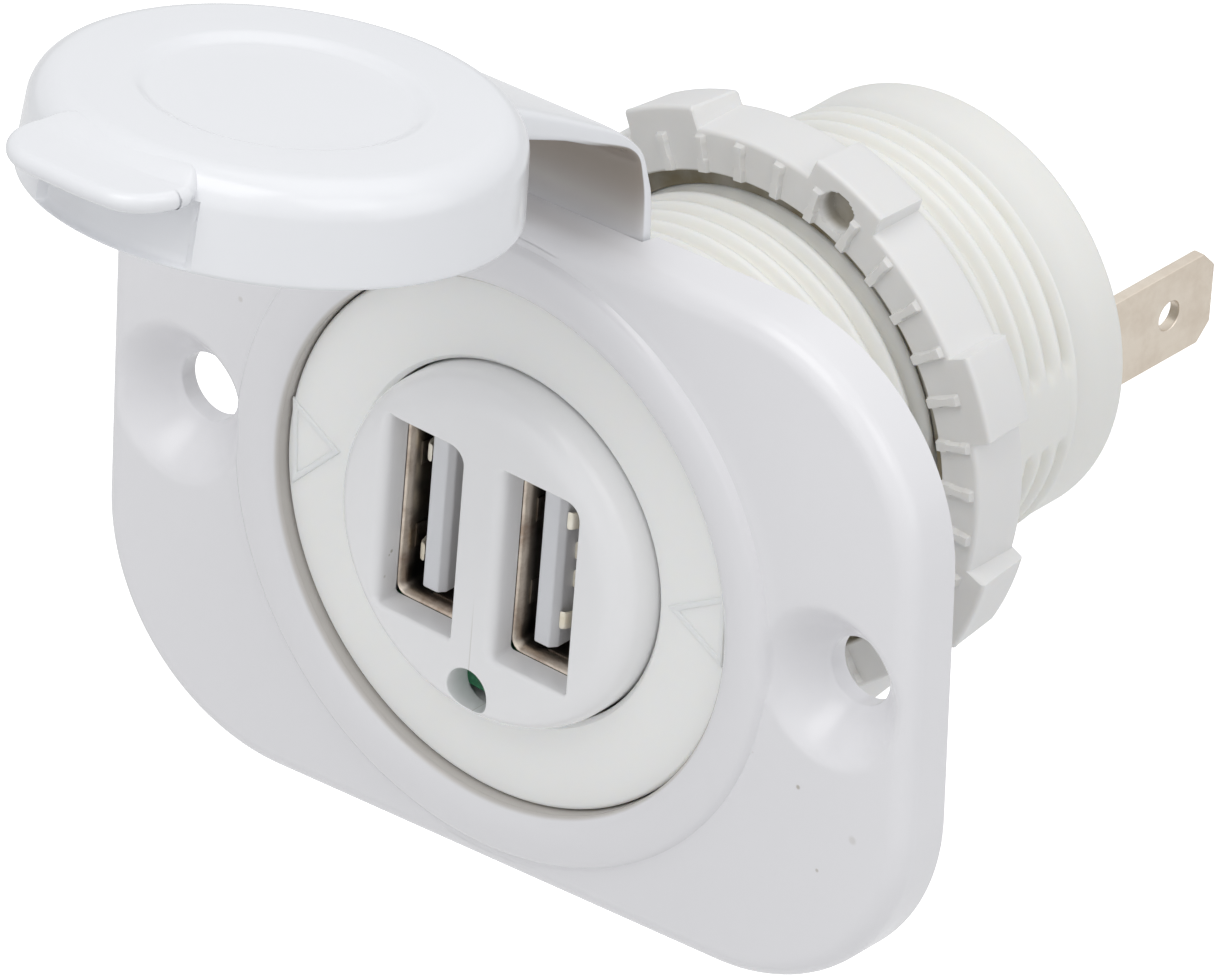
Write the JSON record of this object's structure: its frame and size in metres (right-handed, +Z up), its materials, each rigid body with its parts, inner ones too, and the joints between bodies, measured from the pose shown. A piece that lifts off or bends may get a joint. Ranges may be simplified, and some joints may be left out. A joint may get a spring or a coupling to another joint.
{
  "type": "car dual usb socket",
  "caption": "Round threaded charging socket with upright USB ports, clamped by a ring nut behind a rounded mounting plate, under a strap-hinged flip cap, with rear blade terminals.",
  "frame": {"origin": "on the socket's axis, in the plane of the mounting plate's rear edge, where the part meets the panel", "axes": "+X to the right as seen from the front, +Y back into the panel along the barrel, +Z up towards the cap's hinge"},
  "size_m": [0.063, 0.0958, 0.065],
  "materials": {
    "plate_white": "gloss",
    "socket_white": "satin",
    "nut_white": "satin",
    "insert_white": "satin",
    "cap_white": "gloss",
    "nickel_shell": "satin",
    "tongue_white": "matte",
    "contact_metal": "bright",
    "board_green": "satin",
    "lamp": "gloss",
    "tinned_copper": "bright",
    "ferrite": "matte",
    "copper_wire": "enamelled",
    "can_aluminium": "satin",
    "chip_black": "matte",
    "blade_nickel": "satin"
  },
  "bodies": {
    "socket": {"mounting_plate": "plate_white", "socket_body": "socket_white", "ring_nut": "nut_white", "face_insert": "insert_white", "usb_shell_left": "nickel_shell", "usb_shell_right": "nickel_shell", "usb_tongue_left": "tongue_white", "usb_tongue_right": "tongue_white", "usb_contacts_left": "contact_metal", "usb_contacts_right": "contact_metal", "usb_board": "board_green", "indicator_board": "board_green", "indicator_led": "lamp", "indicator_leads": "tinned_copper", "power_board": "board_green", "board_link_pins": "tinned_copper", "choke_core": "ferrite", "choke_winding": "copper_wire", "input_capacitor": "can_aluminium", "output_capacitor": "can_aluminium", "converter_chip": "chip_black", "rectifier_diode": "chip_black", "positive_terminal": "blade_nickel", "negative_terminal": "blade_nickel", "cap_strap": "cap_white"},
    "cap": {"cap": "cap_white"}
  },
  "joints": [
    {"name": "cap_hinge", "type": "hinge", "parent": "socket", "child": "cap", "pos_m": [0, -0.0013, 0.02678], "axis": [1, 0, 0], "range_deg": [-30, 98.3]}
  ]
}
